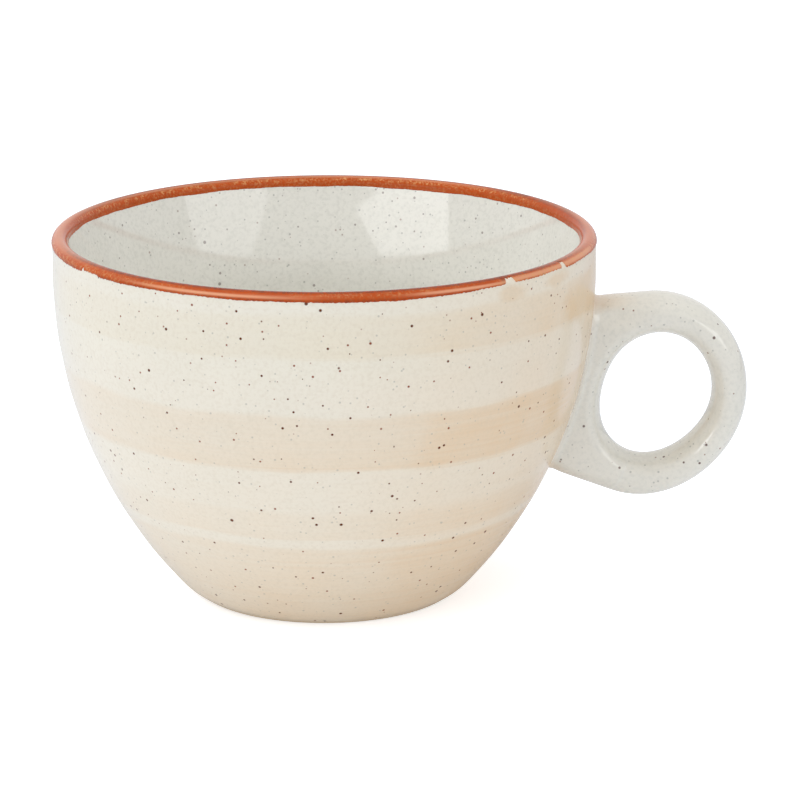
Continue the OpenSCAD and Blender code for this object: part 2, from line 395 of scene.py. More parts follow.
# Thin zones: pale tan streaks that are partly glaze breaking thin over the lip and partly painted
# highlight, where the soft boxes and the room would mirror on the round of the lip
THIN_AND_HIGHLIGHT_ZONES = (
    (-128, -97, 7, -2.05, -1.55, 0.12, 1.00),
    (-105, -84, 4, -1.45, -1.25, 0.10, 0.25),
    (-70, -50, 4, -2.00, -1.50, 0.12, 0.95),
    (-49, -14, 2, -1.95, -1.10, 0.15, 0.75),
    (50, 150, 10, 0.40, 1.00, 0.12, 0.50),
    (150, 210, 8, -1.20, 0.80, 0.30, 0.40),
    (-30, 30, 8, -1.20, 0.80, 0.30, 0.28),
)
print("faults of the edge:", len(EDGE_FAULTS))
print("dark, flecked and thin zones:", len(DARK_ZONES), len(FLECK_ZONES), len(THIN_AND_HIGHLIGHT_ZONES))


# %% Edges and zones of the coat
def between(a, start, end, soft):
    """1 from start to end and 0 outside: half of tanh((a - start) / soft), less half of
    tanh((a - end) / soft)."""
    return (np.tanh((a - start) / soft) - np.tanh((a - end) / soft)) / 2


def on_the_clock(angles, start, end, soft):
    """The same for degrees round the cup, counted from the middle of the stretch."""
    middle = (start + end) / 2
    away = (np.degrees(angles) - middle + 180) % 360 - 180
    return between(away, start - middle, end - middle, soft)


def in_zones(zones, angles, s):
    """Sum over the zones of amount * window round the cup * window across the lip."""
    return sum(
        amount * on_the_clock(angles, start, end, soft) * between(s, low, high, blur)
        for start, end, soft, low, high, blur, amount in zones
    )


def coat_edges(angles):
    """Distance from the crest to the outer and the inner edge, in mm, for each angle."""
    outer = (
        -RIM_COVER_OUT
        + wander(angles, seed=4, size=0.20, waves=SLOW)
        + wander(angles, seed=5, size=0.07, waves=QUICK)
    )
    inner = (
        RIM_COVER_IN
        - wander(angles, seed=6, size=0.25, waves=SLOW)
        - wander(angles, seed=7, size=0.06, waves=QUICK)
    )
    torn = 1 + wander(angles, seed=9, size=0.25, waves=RAGGED)
    for start, end, size, soft in EDGE_FAULTS:
        outer += size * on_the_clock(angles, start, end, soft) * torn
    outer += wander(angles, seed=8, size=0.12, waves=RAGGED)
    inner += wander(angles, seed=10, size=0.05, waves=RAGGED)
    return outer, inner


lower_edge, upper_edge = coat_edges(ring_angles(AROUND))
print(f"the coat is {(upper_edge - lower_edge).mean():.2f} mm wide on average")


# %% Rust coat over the lip
def lip_path():
    """Points, outward directions and distance along the lip, counted from its crest."""
    side = outside_line(0, BARE_H)
    side = side[side[:, 1] > LIP_Z - PATH_DROP]
    line = np.concatenate([side, lip_line(0), inside_line(0)[1:PATH_INSIDE]])
    line = even(line, PATH_POINTS)
    step = np.gradient(line, axis=0)
    step /= np.hypot(*step.T)[:, None]
    out = np.stack([step[:, 1], -step[:, 0]], axis=1)
    distance = distance_along(line)
    return line, out, distance - distance[np.argmax(line[:, 1])]


def rust_coat():
    """A band over the lip: point = path(s) - depth * outward, where s runs between the two
    wandering edges. The depth is that of the edge at t = 0 and of the top at t = 1, and the
    part of the rise at t is 1 - (1 - t)^power."""
    line, out, distance = lip_path()
    angles = ring_angles(RIM_AROUND)
    outer, inner = coat_edges(angles)

    def across(count):
        """Places from edge to edge, which crowd at the edges."""
        share = (1 - np.cos(np.linspace(0, math.pi, count)[:, None])) / 2
        return outer + share * (inner - outer)

    def laid(s, depth):
        """Radius and height of the path at s, sunk by depth."""
        return [
            np.interp(s, distance, line[:, k]) - depth * np.interp(s, distance, out[:, k])
            for k in (0, 1)
        ]

    s, s_back = across(RIM_ROWS), across(RIM_BACK_ROWS)[::-1]
    t = np.clip(np.minimum(s - outer, inner - s) / RIM_EDGE_SOFT, 0, 1)
    rise = 1 - (1 - t) ** RIM_EDGE_POWER
    face_r, face_z = laid(s, RIM_TOP + (RIM_EDGE_DEPTH - RIM_TOP) * (1 - rise))
    back_r, back_z = laid(s_back, UNDER)
    radii, heights = np.concatenate([face_r, back_r]), np.concatenate([face_z, back_z])
    piece = turned("rust_rim", radii, heights, angles)
    s = np.concatenate([s, s_back])
    # The last of these marks holds painted highlight streaks as well as thin glaze
    for name, zones in (("dark", DARK_ZONES), ("flecked", FLECK_ZONES), ("thin_and_highlight", THIN_AND_HIGHLIGHT_ZONES)):
        mark(piece, name, in_zones(zones, angles, s))
    return piece


rust_rim = rust_coat()
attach(rust_rim, "root")
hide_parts("rim_glaze")

# %% [markdown]
# ## The foot
# The foot ring is bare clay, because glaze would stick it to the kiln shelf. Its corners were
# rounded with a damp sponge. Inside the ring, glaze pooled against the clay in a small curve.


# %% Foot ring
CORNER_STEPS = 8
CORNER_SHARE = 0.45


def rounded_line(corners, radius):
    """A closed line through corners, each corner replaced by a short curve that is drawn
    between points one radius before and after it: (1-t)^2 a + 2t(1-t) corner + t^2 b. A
    curve takes no more than a set share of the sides next to it."""
    corners = np.array(corners, float)
    ends = []
    for turn in (1, -1):
        side = np.roll(corners, turn, axis=0) - corners
        share = np.minimum(radius / np.hypot(*side.T), CORNER_SHARE)
        ends.append(corners + side * share[:, None])
    a, b = ends
    t = np.linspace(0, 1, CORNER_STEPS)[:, None, None]
    curves = (1 - t) ** 2 * a + 2 * t * (1 - t) * corners + t**2 * b
    return curves.transpose(1, 0, 2).reshape(-1, 2)


FOOT_R = HEEL_X + HEEL_R * math.sin(HEEL_TURN)
FOOT_IN_R = FOOT_R - FOOT_W
FOOT_ROUND = 0.7
FOOT_WAVES = (2, 3, 7, 12, 19, 31)


def foot_ring_piece():
    """The ring's closed line, anticlockwise: along the ground, up the heel, and back inside.
    Away from the ground and from the heel its inner side wanders."""
    edge = outside_line(0, BARE_H)[0]
    shoulder = outside_line(COAT_T, FOOT_H)[0]
    corners = [(FOOT_IN_R, 0), (FOOT_R, 0), edge, shoulder, (FOOT_IN_R, FOOT_H)]
    line = rounded_line(corners, FOOT_ROUND)
    r, z = line[:, :1], line[:, 1:]
    angles = ring_angles(AROUND)
    uneven = wander(angles, seed=11, size=0.05, waves=FOOT_WAVES)
    free = (z > BARE_H / 2) & (r < FOOT_R - 1)
    return turned("foot", r + uneven * free, z, angles)


foot = foot_ring_piece()
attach(foot, "root")
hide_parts("foot_ring")

# %% Glaze under the base
POOL_W, POOL_H = 1.1, 0.5
BASE_SINK = 0.05
BASE_POINTS = 60


def base_glaze_piece():
    """A disc under the floor. Its lower face is z = base - pool * ((r - start) / width)^2."""
    r = np.linspace(0, FOOT_IN_R - CLEAR, BASE_POINTS)
    pooled = np.clip((r - FOOT_IN_R + POOL_W) / POOL_W, 0, 1) ** 2
    face_z = FOOT_H - COAT_T + BASE_SINK - POOL_H * pooled
    back_z = np.full_like(r, FOOT_H - CLEAR)
    radii = np.concatenate([r, r[::-1]])[:, None]
    heights = np.concatenate([face_z, back_z])[:, None]
    return turned("base_pool", radii, heights, ring_angles(AROUND))


base_pool = base_glaze_piece()
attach(base_pool, "root")
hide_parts("base_glaze")

# %% [markdown]
# ## The ring handle
# The handle is a strap of clay bent into a ring and pressed on the wall, where wet clay was
# smoothed into a small fillet. Two closed curves round the finger hole say where its inner
# and outer edges lie in each direction. Between them stands the section: two half ovals with
# flats between them, which are short on the strap and long at the root. Towards the wall the
# section swells by a quarter circle, which is what makes the fillet.

# %% Sizes of the handle
# The finger hole, an ellipse that leans and is drawn in a little on three sides
HOLE_W = 22
HOLE_L = 26.4
HOLE_LEAN = math.radians(22)
HOLE_Z = 41
HOLE_DRAW = 0.25
FLAT_SIDES = 3
FLAT_SIDE_AT = math.radians(52)
# The strap: its thickness and what it gains towards the bowl, its width and its flats. It
# lies a little below the frame's outer edge.
STRAP_T = 7.2
ROOT_GAIN = 2.2
STRAP_W = 11.4
SIDE_FLAT = 0.2
HANDLE_SINK = 0.04
# The root: the clay between hole and wall, how far it goes into the wall, the directions of
# its straight edges, the power that rounds its corners, and the farthest that it may reach
ROOT_WEB = 4.9
ROOT_SUNK = 3.2
ROOT_DEPTH = HOLE_W / 2 + ROOT_WEB + ROOT_SUNK
ROOT_TOP_AT = math.radians(95)
ROOT_LOW_AT = math.radians(250)
ROOT_END_AT = math.radians(166)
CORNER_POWER = 14
ROOT_FARTHEST = 60
# How much wider it gets towards the wall, how slowly, and the fillet against the wall
ROOT_SWELL = 1.4
SWELL_SPREAD = 1.5
ROOT_FILLET = 1.6


def wall_r(z):
    """Outer radius of the bowl at height z: side_x + sqrt(side_r^2 - (upright_z - z)^2)."""
    below = np.clip(UPRIGHT_Z - z, 0, SIDE_R)
    return SIDE_X + np.sqrt(SIDE_R**2 - below**2)


HOLE_X = float(wall_r(np.array(HOLE_Z))) + ROOT_WEB + HOLE_W / 2
print(f"finger hole {HOLE_W} by {HOLE_L} mm, its middle {HOLE_X:.1f} mm from the axis")


# %% Edges of the handle
NEARBY = np.radians(np.arange(-60, 60.5, 0.5))
NEVER_ZERO = 1e-30


def ellipse_r(a, long, short):
    """Radius of a tilted ellipse: 1 / hypot(cos(a - tilt) / long, sin(a - tilt) / short)."""
    tilt = math.pi / 2 - HOLE_LEAN
    return 1 / np.hypot(np.cos(a - tilt) / long, np.sin(a - tilt) / short)


def drawn_in(a):
    """How far both edges are drawn in: draw cos(sides (a - direction of the first side))."""
    return HOLE_DRAW * np.cos(FLAT_SIDES * (a - FLAT_SIDE_AT))


def hole_edge(a):
    """Inner edge: the ellipse, drawn in a little on three sides."""
    return ellipse_r(a, HOLE_L / 2, HOLE_W / 2) - drawn_in(a)


def strap_edge(a):
    """Outer edge of the free strap: one strap thickness out, and more towards the bowl."""
    plain = ellipse_r(a, HOLE_L / 2 + STRAP_T, HOLE_W / 2 + STRAP_T)
    return plain - drawn_in(a) + ROOT_GAIN * (1 - np.cos(a)) / 2


def touching(at):
    """Where a straight edge square to direction at touches the strap: the largest
    strap(a) cos(a - at), and the angle a where it is reached."""
    near = at + NEARBY
    reach = strap_edge(near) * np.cos(near - at)
    return float(reach.max()), float(near[reach.argmax()])


TOP_REACH, TOP_TOUCH = touching(ROOT_TOP_AT)
LOW_REACH, LOW_TOUCH = touching(ROOT_LOW_AT)
print(f"the root runs from {math.degrees(TOP_TOUCH):.0f} to {math.degrees(LOW_TOUCH):.0f} degrees")


def outer_edge(a):
    """The strap's edge, and between the two touching points the root's straight edges, whose
    corners are rounded by a power sum: (sum of (cos(a - at) / reach)^p)^(-1 / p)."""
    pulls = [(ROOT_TOP_AT, TOP_REACH), (ROOT_LOW_AT, LOW_REACH), (ROOT_END_AT, ROOT_DEPTH)]
    total = sum((np.clip(np.cos(a - at), 0, None) / reach) ** CORNER_POWER for at, reach in pulls)
    root = np.clip(total, NEVER_ZERO, None) ** (-1 / CORNER_POWER)
    strap, root = strap_edge(a), np.minimum(root, ROOT_FARTHEST)
    return np.where((a > TOP_TOUCH) & (a < LOW_TOUCH), np.maximum(strap, root), strap)


# %% Marks round one section
END_STEPS = 18
SIDE_STEPS = 56


def section_marks():
    """Marks round one section as (side, angle): side 1 is the outer end and 0 the inner one,
    and the straight sides run between them."""
    outer = np.linspace(-90, 90, 2 * END_STEPS + 1)
    inner = np.linspace(90, 270, 2 * END_STEPS + 1)
    share = np.arange(1, SIDE_STEPS + 1) / (SIDE_STEPS + 1)
    side = np.concatenate([np.ones_like(outer), 1 - share, np.zeros_like(inner), share])
    angle = np.concatenate([outer, np.full(SIDE_STEPS, 90.0), inner, np.full(SIDE_STEPS, 270.0)])
    return side, np.radians(angle)


print("points round one section:", len(section_marks()[0]))

# %% Sections carried round the hole
STATIONS = 420
# A finger's print in the soft clay of the root: its middle, half sizes and depth. It lies on
# the section's sides, where the sine of the section's angle goes from 0.7 to 1.
PRINT_X, PRINT_Z = 58.6, 59.5
PRINT_HALF_X, PRINT_HALF_Z = 4.2, 2.6
PRINT_DEPTH = 1.1
PRINT_FROM, PRINT_FADE = 0.7, 0.3
# How far from the wall the brush's wash reaches on the handle
WASH_REACH = 9


def handle_piece():
    """Point = hole middle + along * direction + across * y, moved out along the section's
    own outward direction by the fillet: fillet - sqrt(fillet^2 - gap^2) near the wall."""
    a = np.linspace(TOP_TOUCH - 2 * math.pi, TOP_TOUCH, STATIONS, endpoint=False)
    a = np.where(a < LOW_TOUCH - 2 * math.pi, a + 2 * math.pi, a)[:, None]
    side, angle = section_marks()
    c, s = (np.where(np.abs(v) < TINY, 0, v) for v in (np.cos(angle), np.sin(angle)))

    def placed(along):
        """x and z at this distance from the hole's middle."""
        return HOLE_X + along * np.cos(a), HOLE_Z + along * np.sin(a)

    round_r = (STRAP_T - SIDE_FLAT) / 2
    towards_wall = np.clip(np.cos((a - ROOT_END_AT) / SWELL_SPREAD), 0, 1)
    width = STRAP_W / 2 + ROOT_SWELL / 2 * towards_wall**2
    inner = hole_edge(a) + round_r
    outer = outer_edge(a) - round_r - HANDLE_SINK
    along = inner + (outer - inner) * side + round_r * c
    across = width * s
    slope_along, slope_across = c / round_r, s / width
    slope = np.hypot(slope_along, slope_across)
    x, z = placed(along)
    off_wall = np.hypot(x, across) - (wall_r(z) - SKIN)
    gap = ROOT_FILLET - np.clip(off_wall, 0, ROOT_FILLET)
    swell = ROOT_FILLET - np.sqrt(ROOT_FILLET**2 - gap**2)
    along = along + swell * slope_along / slope
    across = across + swell * slope_across / slope
    x, z = placed(along)
    pressed = np.exp(-(((x - PRINT_X) / PRINT_HALF_X) ** 2) - ((z - PRINT_Z) / PRINT_HALF_Z) ** 2)
    on_side = np.clip((np.abs(s) - PRINT_FROM) / PRINT_FADE, 0, 1) ** 2
    across = across - PRINT_DEPTH * pressed * np.sign(across) * on_side
    points = np.stack([x, across, z], axis=-1)
    faces = grid_faces(STATIONS, len(side), rows_close=True)
    piece = mesh_piece("ring_handle", points.reshape(-1, 3), faces)
    off = np.hypot(x, across) - wall_r(z)
    near = np.clip(1 - off / WASH_REACH, 0, 1)
    # 1 where the section faces straight out from the hole, and 0 on its flats and inside
    faces_out = np.clip(1.4 * c - 0.4, 0, 1)
    mark(piece, "off_wall", off)
    mark(piece, "rim_wash", near * side * faces_out)
    return piece


ring_handle = handle_piece()
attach(ring_handle, "root")
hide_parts("handle")


# %% [markdown]
# ## Finishes: the helpers
# Colours are written as the hex values that a paint program shows, and one function turns
# them to the linear light that Blender works in. One more function adds a node to a material,
# with its settings and what feeds its inputs. All patterns are laid out in millimetres.


# %% Colour, node and coordinates
def linear(hex_colour):
    """sRGB hex to linear RGBA: c / 12.92 below 0.04045, ((c + 0.055) / 1.055)^2.4 above."""
    c = np.array([int(hex_colour[k : k + 2], 16) / 255 for k in (1, 3, 5)])
    lit = np.where(c <= 0.04045, c / 12.92, ((c + 0.055) / 1.055) ** 2.4)
    return (*[float(v) for v in lit], 1.0)


def add(tree, kind, settings=None, **inputs):
    """Adds one node. settings are its own options. Each input is a value or another node's
    socket; an input that has only a number is written as in0, in1 and so on."""
    made = tree.nodes.new("ShaderNode" + kind)
    for name, value in (settings or {}).items():
        setattr(made, name, value)
    for name, value in inputs.items():
        key = int(name[2:]) if name[:2] == "in" and name[2:].isdigit() else name.replace("_", " ")
        socket = made.inputs[key]
        if isinstance(value, bpy.types.NodeSocket):
            tree.links.new(value, socket)
        else:
            socket.default_value = value
    return made.outputs


def new_finish(name, roughness, ior=1.5):
    """A material with only a Principled shader and the object's own position in mm. Fired
    clay and a plain glaze both bend light by about 1.5."""
    material = bpy.data.materials.new(name)
    material.use_nodes = True
    tree = material.node_tree
    shader = tree.nodes["Principled BSDF"]
    shader.inputs["Roughness"].default_value = roughness
    shader.inputs["IOR"].default_value = ior
    position = add(tree, "TexCoord")["Object"]
    place = add(tree, "VectorMath", {"operation": "SCALE"}, in0=position, Scale=1 / MM)["Vector"]
    return material, tree, shader, place


# Settings of the nodes that work with numbers, and of the one that mixes two colours, whose
# input 0 is the amount, and 6 and 7 the colours
PLUS = {"operation": "ADD"}
PLUS_CAPPED = {"operation": "ADD", "use_clamp": True}
TIMES = {"operation": "MULTIPLY"}
TIMES_CAPPED = {"operation": "MULTIPLY", "use_clamp": True}
TIMES_PLUS = {"operation": "MULTIPLY_ADD"}
MIX = {"data_type": "RGBA"}


def wear(piece, material):
    """Gives a piece one material."""
    piece.data.materials.clear()
    piece.data.materials.append(material)
    print(f"{piece.name} has {material.name}, of {len(material.node_tree.nodes)} nodes")


print("half grey, #808080, in linear light:", round(linear("#808080")[0], 3))

# %% [markdown]
# ## Finishes: iron specks
# Speckled stoneware has grains of iron in the clay that bleed up through the glaze. The
# specks are small balls scattered through space, and the surface shows each ball that it
# cuts. A Voronoi texture gives the distance to the nearest ball's middle, so a speck is
# where that distance, in millimetres, is under the ball's radius.


# %% Specks that the surface cuts
# A ball's size is its cell's random grey times the spread, plus the least
BALL_LEAST, BALL_SPREAD = 0.45, 1.1
BALL_BLUR = 0.05


def specks(tree, place, apart, radius, seed):
    """1 inside small balls whose radius is 0.45 to 1.55 times the given one, with cells of size
    apart, both in mm. Each cell's own random colour, read as a grey, gives the ball's size."""
    moved = add(tree, "VectorMath", PLUS, in0=place, in1=(seed, 2.3 * seed, 3.7 * seed))
    cells = add(tree, "TexVoronoi", {"feature": "F1"}, Vector=moved["Vector"], Scale=1 / apart)
    size = add(
        tree, "Math", TIMES_PLUS, in0=cells["Color"], in1=BALL_SPREAD, in2=BALL_LEAST
    )["Value"]
    distance = add(tree, "Math", TIMES, in0=cells["Distance"], in1=apart)["Value"]
    distance = add(tree, "Math", {"operation": "DIVIDE"}, in0=distance, in1=size)["Value"]
    near, far = radius - BALL_BLUR, radius + BALL_BLUR
    return add(
        tree, "MapRange", Value=distance, From_Min=near, From_Max=far, To_Min=1.0, To_Max=0.0
    )["Result"]


# Balls per mm3 times twice the radius gives specks per mm2, which sets these cell sizes
IRON_R, IRON_APART = 0.24, 3.1
RUST_R, RUST_APART = 0.18, 2.6
GREY_R, GREY_APART = 0.155, 1.5
# How strongly the smaller two colour the glaze, against the iron specks
RUST_STRENGTH, GREY_STRENGTH = 0.95, 0.5


def with_specks(tree, place, base, colours, share):
    """Three kinds of speck over a base colour: large dark iron, small rusty, faint grey. The
    share scales the first two, and the grey ones are always there."""
    iron, rusty, grey = colours
    coat = base
    for apart, radius, seed, colour, strength in (
        (GREY_APART, GREY_R, 5.0, grey, GREY_STRENGTH),
        (RUST_APART, RUST_R, 11.0, rusty, RUST_STRENGTH * share),
        (IRON_APART, IRON_R, 17.0, iron, share),
    ):
        spot = specks(tree, place, apart, radius, seed)
        amount = add(tree, "Math", TIMES, in0=spot, in1=strength)["Value"]
        coat = add(tree, "Mix", MIX, in0=amount, in6=coat, in7=linear(colour))[2]
    return coat


print("dark specks per square cm:", round(100 * 2 * IRON_R / IRON_APART**3, 2))

# %% [markdown]
# ## Finishes: mottle and orange peel
# Both glazes share two marks of the kiln. Fine crystals grow as the glaze cools, which gives
# the eye a faint mottle under the gloss. The melt was thick and never ran quite level, so its
# reflections waver a little, as on the peel of an orange.

# %% Mottle and orange peel
# The mottle begins and is full where the noise has these values
MOTTLE_FROM, MOTTLE_FULL = 0.45, 0.75
PEEL_DEPTH = 0.06


def mottled(tree, place, base, hex_colour, size, most):
    """Mixes in a colour, by most at most, where a noise of the given size in mm is high."""
    noise = add(tree, "TexNoise", Vector=place, Scale=1 / size, Detail=2.0)["Fac"]
    amount = add(
        tree, "MapRange", Value=noise, From_Min=MOTTLE_FROM, From_Max=MOTTLE_FULL, To_Max=most
    )["Result"]
    return add(tree, "Mix", MIX, in0=amount, in6=base, in7=linear(hex_colour))[2]


def orange_peel(tree, shader, place, size, strength):
    """Soft bumps of the given size in mm, which stand for a height of peel_depth at most."""
    noise = add(tree, "TexNoise", Vector=place, Scale=1 / size, Detail=2.0)["Fac"]
    bump = add(tree, "Bump", Height=noise, Strength=strength, Distance=PEEL_DEPTH * MM)["Normal"]
    tree.links.new(bump, shader.inputs["Normal"])


print(f"the orange peel stands at most {PEEL_DEPTH} mm high")

# %% [markdown]
# ## Finishes: brushed stoneware glaze
# The outside is cream stoneware glaze with an underglaze wash brushed on while the cup
# turned, so the bands are level, their edges are soft, and fine lines from the bristles run
# round the cup. A ramp over the height says how much wash lies there. The height is first
# shaken by a slow noise and by a noise that is stretched along the brush's way. To the eye
# it is glossy, milky and a little uneven.

# %% Wash by height
# Height in mm, and how much wash lies there
WASH_BY_HEIGHT = (
    (0.0, 0.58),
    (9.0, 0.52),
    (20.3, 0.42),
    (21.2, 0.18),
    (22.5, 0.18),
    (23.4, 0.36),
    (28.6, 0.30),
    (29.8, 0.20),
    (38.3, 0.18),
    (39.5, 0.50),
    (44.0, 0.42),
    (50.0, 0.38),
    (51.0, 0.12),
    (61.4, 0.09),
    (62.7, 0.26),
    (70.0, 0.20),
    (71.2, 0.03),
    (75.0, 0.03),
)
# How far the slow noise and the bristle lines shake the height in all, in mm
DRIFT_SHAKE, BRISTLE_SHAKE = 3.0, 1.6
SHAKE_MIDDLE = 2.3


def wash_by_height(tree, height, drift, bristle):
    """Wash at height + drift shake + bristle shake - middle, from a grey ramp that has a stop
    for each row of the table."""
    shaken = add(tree, "Math", TIMES_PLUS, in0=drift, in1=DRIFT_SHAKE, in2=height)["Value"]
    shaken = add(tree, "Math", TIMES_PLUS, in0=bristle, in1=BRISTLE_SHAKE, in2=shaken)["Value"]
    shaken = add(tree, "Math", PLUS, in0=shaken, in1=-SHAKE_MIDDLE)["Value"]
    top = WASH_BY_HEIGHT[-1][0]
    share = add(tree, "MapRange", Value=shaken, From_Min=0.0, From_Max=top)["Result"]
    ramp = add(tree, "ValToRGB", Fac=share)["Color"]
    stops = ramp.node.color_ramp.elements
    for up, _ in WASH_BY_HEIGHT[1:-1]:
        stops.new(up / top)
    for stop, (up, amount) in zip(stops, WASH_BY_HEIGHT):
        stop.position = up / top
        stop.color = (amount, amount, amount, 1)
    return ramp


print("stops of the wash:", len(WASH_BY_HEIGHT))

# %% Dabs of the brush
# Where the brush was lifted or the rust touched the glaze: middle and half sizes in mm, amount
DABS = (
    ((51.0, -17.0, 65.6), (9.0, 13.0, 5.2), 0.40),
    ((37.0, -40.4, 71.7), (4.6, 4.6, 1.7), 0.42),
    ((46.2, -29.8, 72.0), (4.4, 4.4, 1.5), 0.45),
)
# The noise that tears a dab's edge, and the distances where the dab begins to fade and ends
DAB_RAGGED = 0.9
DAB_CORE, DAB_END = 0.95, 1.60


def dab(tree, place, middle, half, ragged):
    """1 inside an ellipsoid that fades outwards, by |(place - middle) / half| plus the ragged
    noise."""
    away = add(tree, "VectorMath", {"operation": "SUBTRACT"}, in0=place, in1=middle)["Vector"]
    away = add(tree, "VectorMath", {"operation": "DIVIDE"}, in0=away, in1=half)["Vector"]
    away = add(tree, "VectorMath", {"operation": "LENGTH"}, in0=away)["Value"]
    away = add(tree, "Math", TIMES_PLUS, in0=ragged, in1=DAB_RAGGED, in2=away)["Value"]
    return add(
        tree, "MapRange", Value=away, From_Min=DAB_CORE, From_Max=DAB_END, To_Min=1.0, To_Max=0.0
    )["Result"]


print("dabs:", len(DABS))

# %% All of the wash
# One over the sizes in mm, along x, y and z, of the slow noise and of the bristle lines
DRIFT_SCALE = (1 / 30, 1 / 30, 1 / 7)
BRISTLE_SCALE = (1 / 60, 1 / 60, 1 / 0.55)
BLOTCH_SIZE = 2.5
# What a place or a noise becomes: the brush's load, which was fullest on the handle's side,
# where it was set down and lifted, the bristle lines, and what the handle's side has on top
LOAD = {"From_Min": -CUP_R, "From_Max": CUP_R, "To_Min": 0.6, "To_Max": 1.7}
LINES = {"From_Min": 0.3, "From_Max": 0.7, "To_Min": 0.82, "To_Max": 1.15}
NEAR_EXTRA = {"From_Min": 0.0, "From_Max": CUP_R, "To_Min": 0.0, "To_Max": 0.32}
# The wash that gathered against the handle, by the distance beside it and out towards it
BESIDE_HANDLE = {"From_Min": 7.0, "From_Max": 19.0, "To_Min": 1.4, "To_Max": 0.0}
HANDLE_SIDE = {"From_Min": 10.0, "From_Max": 20.0}


def all_the_wash(tree, place, x, y, height):
    """Wash by height * load * lines + near extra + gathered wash + dabs, from 0 to 1."""
    slow = add(tree, "Mapping", Vector=place, Scale=DRIFT_SCALE)["Vector"]
    drift = add(tree, "TexNoise", Vector=slow, Scale=1.0, Detail=3.0)["Fac"]
    fine = add(tree, "Mapping", Vector=place, Scale=BRISTLE_SCALE)["Vector"]
    bristle = add(tree, "TexNoise", Vector=fine, Scale=1.0, Detail=4.0, Roughness=0.65)["Fac"]
    wash = wash_by_height(tree, height, drift, bristle)
    load = add(tree, "MapRange", Value=x, **LOAD)["Result"]
    wash = add(tree, "Math", TIMES, in0=wash, in1=load)["Value"]
    lines = add(tree, "MapRange", Value=bristle, **LINES)["Result"]
    wash = add(tree, "Math", TIMES, in0=wash, in1=lines)["Value"]
    extra = add(tree, "MapRange", Value=x, **NEAR_EXTRA)["Result"]
    wash = add(tree, "Math", PLUS, in0=wash, in1=extra)["Value"]
    aside = add(tree, "Math", {"operation": "ABSOLUTE"}, in0=y)["Value"]
    beside = add(tree, "MapRange", Value=aside, **BESIDE_HANDLE)["Result"]
    on_that_side = add(tree, "MapRange", Value=x, **HANDLE_SIDE)["Result"]
    gathered = add(tree, "Math", TIMES, in0=beside, in1=on_that_side)["Value"]
    gathered = add(tree, "Math", TIMES, in0=gathered, in1=drift)["Value"]
    wash = add(tree, "Math", PLUS_CAPPED, in0=wash, in1=gathered)["Value"]
    blotch = add(tree, "TexNoise", Vector=place, Scale=1 / BLOTCH_SIZE, Detail=3.0)["Fac"]
    for middle, half, amount in DABS:
        here = dab(tree, place, middle, half, blotch)
        here = add(tree, "Math", TIMES, in0=here, in1=amount)["Value"]
        wash = add(tree, "Math", PLUS_CAPPED, in0=wash, in1=here)["Value"]
    return wash


print(f"the brush's load goes from {LOAD['To_Min']} to {LOAD['To_Max']} towards the handle")

# %% Brushed outer glaze
CREAM, CREAM_CLOUD, CREAM_MOTTLE = "#ece8db", "#e2dccd", "#cdbfa8"
CREAM_SPECKS = ("#602a02", "#843600", "#a09d93")
CREAM_CLOUD_SIZE, CREAM_CLOUD_SHARE = 14, 0.7
# The upper band was brushed with a sandier wash than the ones below it, most of all at the
# left: how high up it begins, and how it fades towards the handle
PEACH_WASH, SANDY_WASH = "#ddb685", "#d6bd88"
SANDY_HEIGHT = {"From_Min": 55.0, "From_Max": 60.0}
SANDY_SIDE = {"From_Min": 0.0, "From_Max": 35.0, "To_Min": 1.0, "To_Max": 0.1}


def brushed_stoneware():
    """Cream glaze, a peach wash by height, bristle lines, specks and a soft orange peel."""
    material, tree, shader, place = new_finish("brushed_stoneware_glaze", roughness=0.16)
    x, y, height = add(tree, "SeparateXYZ", Vector=place)
    wash = all_the_wash(tree, place, x, y, height)
    high = add(tree, "MapRange", Value=height, **SANDY_HEIGHT)["Result"]
    sandy = add(tree, "MapRange", Value=x, **SANDY_SIDE)["Result"]
    sandy = add(tree, "Math", TIMES, in0=high, in1=sandy)["Value"]
    tint = add(tree, "Mix", MIX, in0=sandy, in6=linear(PEACH_WASH), in7=linear(SANDY_WASH))[2]
    colour = add(tree, "Mix", MIX, in0=wash, in6=linear(CREAM), in7=tint)[2]
    cloud = add(tree, "TexNoise", Vector=place, Scale=1 / CREAM_CLOUD_SIZE, Detail=3.0)["Fac"]
    faint = add(tree, "Math", TIMES, in0=cloud, in1=CREAM_CLOUD_SHARE)["Value"]
    colour = add(tree, "Mix", MIX, in0=faint, in6=colour, in7=linear(CREAM_CLOUD))[2]
    colour = mottled(tree, place, colour, CREAM_MOTTLE, size=0.7, most=0.25)
    colour = with_specks(tree, place, colour, CREAM_SPECKS, share=1.0)
    tree.links.new(colour, shader.inputs["Base Color"])
    orange_peel(tree, shader, place, size=2.2, strength=0.12)
    return material


wear(outer_glaze, brushed_stoneware())

# %% [markdown]
# ## Finishes: the liner and the handle
# The same glaze base with a little zinc is greyer. It lines the cup and covers the handle.
# It pools and thins in slow clouds, and it shows the finest grey specks. Zinc also makes it
# mirror more than the cream glaze, which is a higher index of refraction.

# %% Grey white liner glaze
ZINC_MOTTLE = "#c4c4bc"
ZINC_SPECKS = ("#52302a", "#86604e", "#83837f")
ZINC_CLOUD_SIZE = 11


